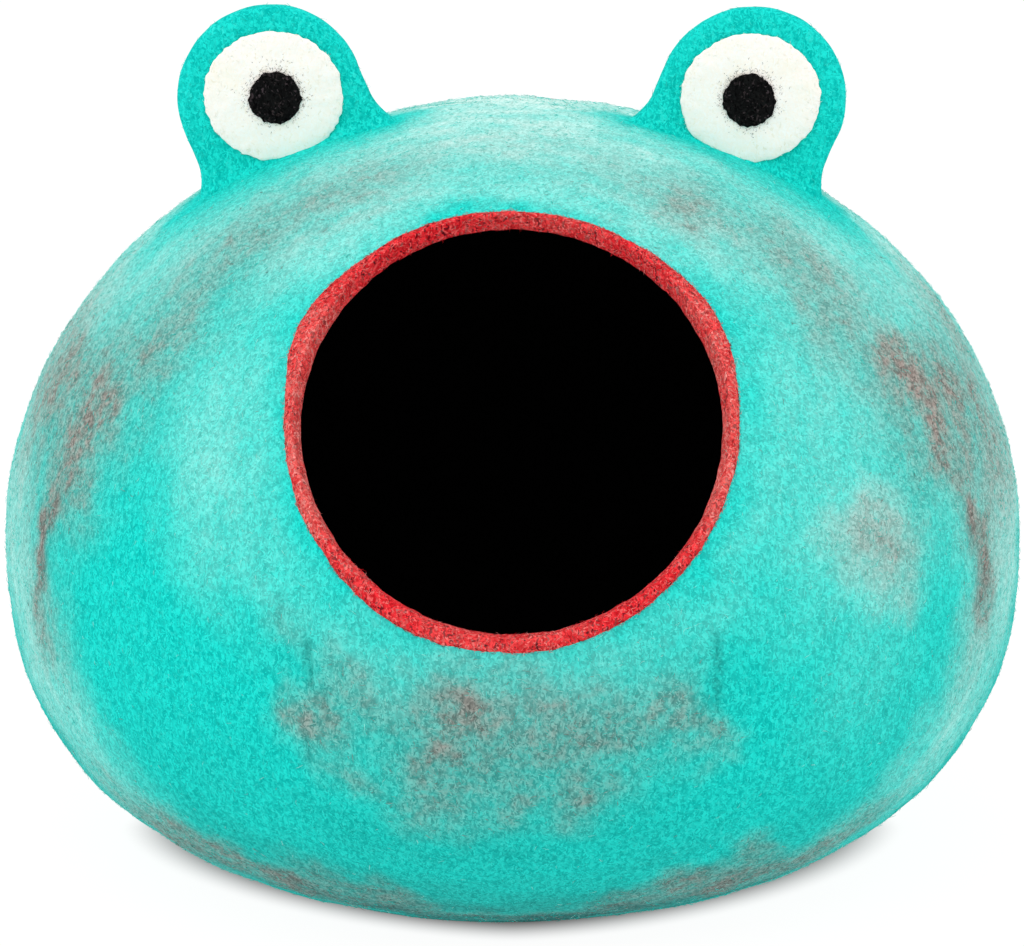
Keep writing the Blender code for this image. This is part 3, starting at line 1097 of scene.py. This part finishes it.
def red_felt():
    wool = Wool("red_felt", 0.92, 0.02, (1.0, 0.75, 0.72))
    first, second, third = wool.interlace()
    tufts = wool.noise(0.0026, 2.0, 0.55, 0.4)
    brightness = (third * 0.8 + tufts * 0.9 - 0.35).above(0.0, 1.0)
    red = wool.mix(brightness, (0.55, 0.006, 0.012), (1.0, 0.04, 0.052))
    dark = (first - 0.8).above(0.0, 0.08) * 0.92
    red = wool.mix(dark, red, wool.mix(brightness, (0.05, 0.004, 0.008), (0.24, 0.01, 0.02)))
    worn = wool.kept("worn") * (wool.noise(0.016, 2.0).above(0.3, 0.65) * 0.7 + 0.3)
    red = wool.mix(worn * 0.42, red, wool.mix(brightness, (0.58, 0.1, 0.09), (0.96, 0.34, 0.28)))
    pale = (second - 0.6).above(0.0, 0.26) * (worn * 0.5 + 0.28)
    red = wool.mix(pale, red, wool.mix(brightness, (0.7, 0.16, 0.14), (0.98, 0.44, 0.4)))
    return wool.felted(red, tufts, 0.0013, 0.9)


def white_felt():
    wool = Wool("white_felt", 0.95, 0.02, (1.0, 1.0, 0.95))
    first, second, third = wool.interlace()
    clouds = wool.noise(0.02, 2.0)
    tufts = wool.noise(0.003, 2.0)
    white = wool.mix(third, (1.0, 0.93, 0.85), (1.0, 0.975, 0.945))
    fleck = (first - 0.93).above(0.0, 0.05) * 0.5
    white = wool.mix(fleck, white, wool.mix(second, (0.78, 0.71, 0.54), (0.96, 0.9, 0.74)))
    white = wool.mix(clouds.above(0.5, 0.72) * 0.18, white, (0.98, 0.91, 0.68))
    return wool.felted(white, tufts, 0.0006, 0.5)


def black_felt():
    wool = Wool("black_felt", 0.9, 0.02, (0.6, 0.5, 0.6))
    first, second, third = wool.interlace()
    tufts = wool.noise(0.0024, 2.0)
    black = wool.mix(third, (0.0008, 0.0008, 0.0009), (0.0085, 0.0085, 0.0085))
    fleck = (first - 0.84).above(0.0, 0.06) * 0.9
    black = wool.mix(fleck, black, wool.mix(second, (0.018, 0.014, 0.013), (0.06, 0.044, 0.05)))
    return wool.felted(black, tufts, 0.0012, 0.9)


# The inner face: nearly black all over.
def dark_inner_face():
    wool = Wool("dark_inner_felt", 0.95, 0.0, (0.5, 0.5, 0.5))
    tufts = wool.noise(0.0026, 2.0)
    black = wool.mix(tufts, (0.0012, 0.0012, 0.0014), (0.008, 0.008, 0.0085))
    return wool.felted(black, tufts, 0.001, 0.6)


def loose_wool(name, colour):
    """The colour of one kind of loose fibre."""
    wool = Wool(name, 0.9, 0.02, (1.0, 1.0, 1.0))
    wool.set("Base Color", (*colour, 1))
    return wool.material


# Dressing the pieces

RIM_STARTS, RIM_WIDTH = 0.024, 0.006  # of the white, from its middle
STRAY_FADE, STRAY_MOST = 0.0016, 0.01  # how far black fibres stray from the pupil


def dress_wall(fleece, wall, tabs):
    """Loose fibres on the wall and the tabs. Each kind lies mostly where its colour shows."""
    ground = Ground(wall)
    marbling_and_highlight = marbling_and_painted_light(ground.middles)[:, :3]
    off_table = ground.middles[:, 2] > 0.001
    made = []
    for name, colour, count, plain, likes, tab_count in (
        # name, colour, number, weight on plain wool, more by (grey, rust, mint with its painted
        # highlight), number a tab
        ("loose_turquoise", (0.01, 0.62, 0.54), 15000, 1.0, (0.1, 0.1, 0.2), 500),
        ("loose_pale_turquoise", (0.06, 0.78, 0.71), 9000, 0.7, (0.2, 0.1, 1.0), 220),
        ("loose_mint", (0.42, 0.82, 0.75), 9000, 0.03, (0.1, 0.1, 1.6), 0),
        ("loose_grey", (0.27, 0.255, 0.23), 5500, 0.02, (1.6, 1.6, 0.0), 0),
    ):
        liking = (plain + marbling_and_highlight @ np.array(likes)) * off_table
        places = [fleece.roots(ground, count, liking)]
        if tab_count:
            places += [fleece.roots(Ground(tab), tab_count) for tab in tabs]
        roots, normals = (np.concatenate(each) for each in zip(*places))
        length, lift = (0.0018, 0.0048), (0.08, 0.45)
        made.append(fleece.grow(name, colour, "turquoise_felt", roots, normals, 0.9, length, lift))
    return made


def dress_band(fleece, band):
    """Loose fibres on the outside of the band. The dark ones crowd along its outer lip, as dark
    flecks and as painted shade where the band meets the wall.
    """
    ground = Ground(band)
    turn, opening = (np.radians(angle) for angle in turn_and_opening(ground.middles))
    reach = np.linalg.norm(ground.middles - HEART, axis=1)
    behind = (opening - mouth_openings(turn)) * reach
    # dark fibres thicker towards the outer lip: dark flecks, and painted shade between band and
    # wall
    lip_dark_and_shade = 0.12 + smooth(behind / band_width(turn) - 0.2)
    made = []
    for name, colour, count, length, liking in (
        ("loose_red", (0.8, 0.025, 0.035), 5200, (0.0016, 0.004), 1),
        ("loose_dark_red", (0.14, 0.003, 0.008), 3600, (0.0014, 0.003), lip_dark_and_shade),
        ("loose_pink", (0.9, 0.32, 0.29), 2400, (0.0018, 0.004), 1),
    ):
        roots, normals = fleece.roots(ground, count, liking)
        outward = ((roots - HEART) * normals).sum(axis=1) > 0
        roots, normals = roots[outward], normals[outward]
        made.append(fleece.grow(name, colour, "red_felt", roots, normals, 0.8, length, (0.1, 0.6)))
    return made


def dress_eye(fleece, word, disc, pupil):
    """Cream fibres round the rim of the white, and black ones that stray from the pupil onto it."""
    middle = points_of(pupil).mean(axis=0)
    on_disc, on_pupil = Ground(disc), Ground(pupil)
    off_middle = np.linalg.norm(on_disc.middles - middle, axis=1)
    near_rim = smooth((off_middle - RIM_STARTS) / RIM_WIDTH) + 0.04
    away = off_middle - PUPIL_DIAMETER / 2
    raised = np.clip((on_disc.middles[:, 2] - middle[2]) / PUPIL_DIAMETER, -0.4, 1)
    near_pupil = np.exp(-np.maximum(away, 0) / STRAY_FADE) * (away < STRAY_MOST)
    near_pupil *= 1 + 1.2 * raised
    made = []
    long, short, lift = (0.001, 0.0026), (0.0007, 0.0019), (0.05, 0.45)
    for name, colour, ground, count, liking, length, slot in (
        ("loose_cream", (0.93, 0.92, 0.82), on_disc, 900, near_rim, long, "white_felt"),
        ("stray_black", (0.05, 0.042, 0.035), on_disc, 3600, near_pupil, short, "black_felt"),
        ("loose_black", (0.012, 0.011, 0.012), on_pupil, 500, 1, long, "black_felt"),
    ):
        roots, normals = fleece.roots(ground, count, liking)
        front = normals[:, 1] < 0.2
        roots, normals = roots[front], normals[front]
        lay = normals[:, [2, 0, 1]]
        name = f"{name}_{word}"
        made.append(fleece.grow(name, colour, slot, roots, normals, 2.0, length, lift, lay))
    return made


def make_eye(fleece, word, side, turquoise, white, black):
    """A tab with its white disc and black pupil, one on the other, and their loose fibres."""
    tab = make_eye_tab(word, side, turquoise)
    disc = make_eye_disc(
        f"eye_disc_{word}",
        on_head(side, *WHITE_OFF_MIDDLE, TAB_THICKNESS / 2),
        (WHITE_WIDTH, WHITE_HEIGHT, WHITE_RISE),
        ((0.006, 0.014), (0.026, 0.0032)),
        ((0.0004, 0.012), (0.0002, 0.004)),
        white,
    )
    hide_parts(f"eye_white_{word}")
    pupil = make_eye_disc(
        f"eye_pupil_{word}",
        on_head(side, *PUPIL_OFF_MIDDLE, TAB_THICKNESS / 2 + WHITE_RISE - PUPIL_SUNK),
        (PUPIL_DIAMETER, PUPIL_DIAMETER, PUPIL_RISE),
        ((0.03, 0.009), (0.08, 0.0024)),
        ((0.0004, 0.006), (0.0002, 0.003)),
        black,
    )
    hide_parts(f"pupil_{word}")
    cream, stray, black_fibres = dress_eye(fleece, word, disc, pupil)
    return tab


# The studio

LAMP_PLACE = (-0.8, -2.2, 3.8)
LAMP_STRENGTH = 0.75
LAMP_SIZE = math.radians(50)  # wide, for soft shadows
ROOM_LIGHT = 0.92
TABLE_GLOW = 0.95
PAINTED_SHADOW_GLOW = 0.02  # in the painted shadow round the cave's foot
PAINTED_SHADOW_HALF_SIZE = (0.191, 0.16)  # half the painted shadow's width and depth
PAINTED_SHADOW_POWER = 1.6  # less than 2 is more pointed than an oval
GLOW_STARTS, GLOW_FULL = 0.82, 1.045  # as shares of the painted shadow's half sizes


def make_floor():
    """A lit table, as for cut-out pictures: it glows, but is dark in a painted shadow round where
    the cave rests on it.
    """
    clear_start()
    bpy.ops.mesh.primitive_plane_add(size=24)
    floor = bpy.context.object
    floor.name = "studio_floor"
    table = Wool("lit_table", 1.0, 0.0, (1, 1, 1))
    table.set("Base Color", (0.08, 0.08, 0.08, 1))
    table.set("Specular IOR Level", 0.0)
    table.set("Emission Strength", 1.0)
    out = sum(
        abs(along * (1 / half)) ** PAINTED_SHADOW_POWER
        for along, half in zip(table.parts(table.place), PAINTED_SHADOW_HALF_SIZE)
    )
    outside_painted_shadow = (out ** (1 / PAINTED_SHADOW_POWER)).above(GLOW_STARTS, GLOW_FULL)
    glow = table.mix(outside_painted_shadow, (PAINTED_SHADOW_GLOW,) * 3, (TABLE_GLOW,) * 3)
    table.tree.links.new(glow.socket, table.shader.inputs["Emission Color"])
    floor.data.materials.append(table.material)


def aim(piece, target):
    direction = Vector(target) - piece.location
    piece.rotation_euler = direction.to_track_quat("-Z", "Y").to_euler()


def make_studio():
    """The table, one wide lamp with even light from the front left, and a pale room."""
    make_floor()
    light = bpy.data.lights.new("key", "SUN")
    light.energy = LAMP_STRENGTH
    light.angle = LAMP_SIZE
    lamp = add("key", light)
    lamp.location = LAMP_PLACE
    aim(lamp, (0, 0, 0))
    world = bpy.data.worlds.new("studio")
    world.use_nodes = True
    background = world.node_tree.nodes["Background"].inputs
    background["Color"].default_value = (1, 1, 1, 1)
    background["Strength"].default_value = ROOM_LIGHT
    bpy.context.scene.world = world
    bpy.context.scene.view_settings.view_transform = "Standard"


def make_camera():
    lens = bpy.data.cameras.new("camera")
    lens.lens = LENS
    lens.sensor_width = 36
    camera = add("camera", lens)
    camera.location = CAMERA_PLACE
    aim(camera, CAMERA_AIM)
    bpy.context.scene.camera = camera


def main():
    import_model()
    make_camera()
    make_studio()
    turquoise, red, inner_face_felt = turquoise_felt(), red_felt(), dark_inner_face()
    white, black = white_felt(), black_felt()
    fleece = Fleece(seed=20)
    wall = make_wall(turquoise, inner_face_felt)
    band = make_mouth_band(red)
    tabs = [
        make_eye(fleece, word, side, turquoise, white, black)
        for word, side in (("left", -1), ("right", 1))
    ]
    on_wall_pieces = dress_wall(fleece, wall, tabs)
    on_band = dress_band(fleece, band)
    bpy.context.view_layer.update()


main()
